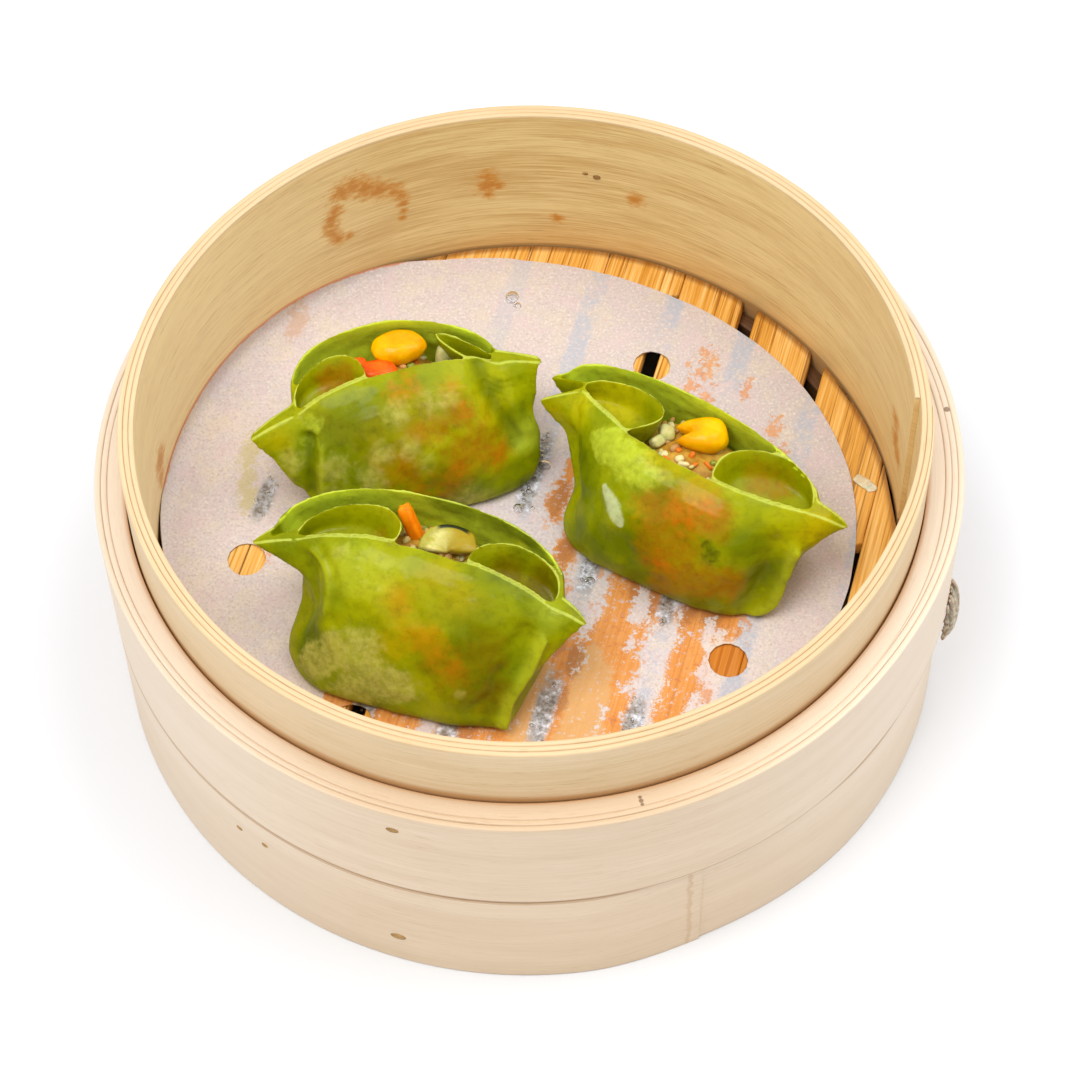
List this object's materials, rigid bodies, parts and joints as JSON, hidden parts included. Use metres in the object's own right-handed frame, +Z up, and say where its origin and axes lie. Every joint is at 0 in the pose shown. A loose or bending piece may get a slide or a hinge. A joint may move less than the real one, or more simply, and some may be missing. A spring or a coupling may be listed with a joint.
{
  "type": "steamed vegetable gyoza in a bamboo steamer basket",
  "caption": "Round bamboo steamer basket with a slatted floor and a perforated paper liner, holding folded green vegetable dumplings.",
  "frame": {"origin": "centre of the bounding box, on the surface that the basket stands on", "axes": "+Z up out of the open basket, -Y towards the front, +X to the right"},
  "size_m": [0.1817, 0.1812, 0.0777],
  "materials": {
    "bamboo": "satin",
    "bamboo_band": "satin",
    "slat": "satin",
    "liner": "matte",
    "nail": "matte",
    "rattan": "matte",
    "wrapper": "glossy, moist dough",
    "filling": "moist",
    "corn": "glossy, moist",
    "carrot": "glossy, moist",
    "courgette": "moist",
    "onion": "moist"
  },
  "bodies": {
    "root": {"band_lower": "bamboo_band", "band_upper": "bamboo_band", "batten_back": "slat", "batten_front": "slat", "dumpling_back_carrot": "carrot", "dumpling_back_corn": "corn", "dumpling_back_filling": "filling", "dumpling_back_onion": "onion", "dumpling_back_wrapper": "wrapper", "dumpling_front_carrot": "carrot", "dumpling_front_courgette": "courgette", "dumpling_front_filling": "filling", "dumpling_front_wrapper": "wrapper", "dumpling_right_corn": "corn", "dumpling_right_filling": "filling", "dumpling_right_onion": "onion", "dumpling_right_wrapper": "wrapper", "inner_hoop": "bamboo", "lacing_1": "rattan", "lacing_2": "rattan", "lacing_3": "rattan", "ledge_ring": "bamboo_band", "liner": "liner", "nail_lower": "nail", "nail_side_a": "nail", "nail_side_b": "nail", "nail_upper": "nail", "rest_ring": "bamboo", "slat_1": "slat", "slat_2": "slat", "slat_3": "slat", "slat_4": "slat", "slat_5": "slat", "slat_6": "slat", "slat_7": "slat", "slat_8": "slat", "slat_9": "slat"}
  },
  "joints": []
}
